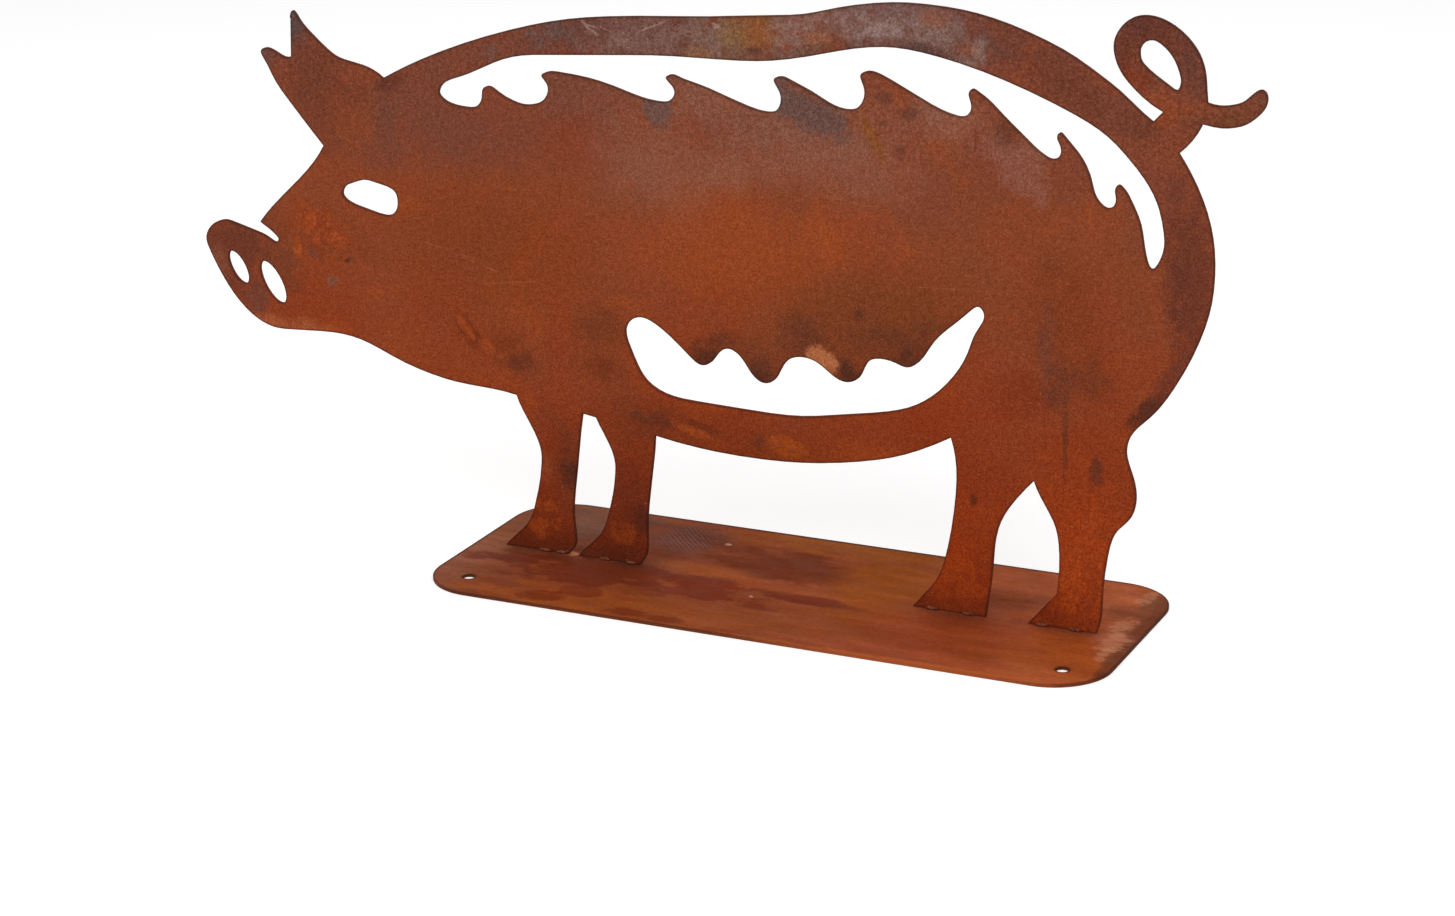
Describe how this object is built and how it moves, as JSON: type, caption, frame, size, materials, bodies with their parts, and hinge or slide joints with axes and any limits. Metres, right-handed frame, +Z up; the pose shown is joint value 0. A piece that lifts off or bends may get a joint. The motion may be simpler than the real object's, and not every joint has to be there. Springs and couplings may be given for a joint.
{
  "type": "pig silhouette ornament",
  "caption": "Flat pig silhouette cut from rusted sheet steel, with slots for bristles and teats, standing upright on a rounded base plate with screw holes.",
  "frame": {"origin": "middle of the base plate's underside", "axes": "+X along the plate from the pig's head to its tail, +Y away from the viewer, through the sheet, +Z up"},
  "size_m": [0.5697, 0.14, 0.3025],
  "materials": {
    "rusted_sheet": "mottled orange-brown rust with fine grain, darker and greyer along the back",
    "rusted_plate": "smoother cloudy rust in brown, purple and ochre bands",
    "weld_metal": "dark lumpy rusted weld bead"
  },
  "bodies": {
    "root": {"pig_profile": "rusted_sheet", "base_plate": "rusted_plate", "leading_fore_front_weld": "weld_metal", "leading_fore_back_weld": "weld_metal", "trailing_fore_front_weld": "weld_metal", "trailing_fore_back_weld": "weld_metal", "leading_hind_front_weld": "weld_metal", "leading_hind_back_weld": "weld_metal", "trailing_hind_front_weld": "weld_metal", "trailing_hind_back_weld": "weld_metal"}
  },
  "joints": []
}
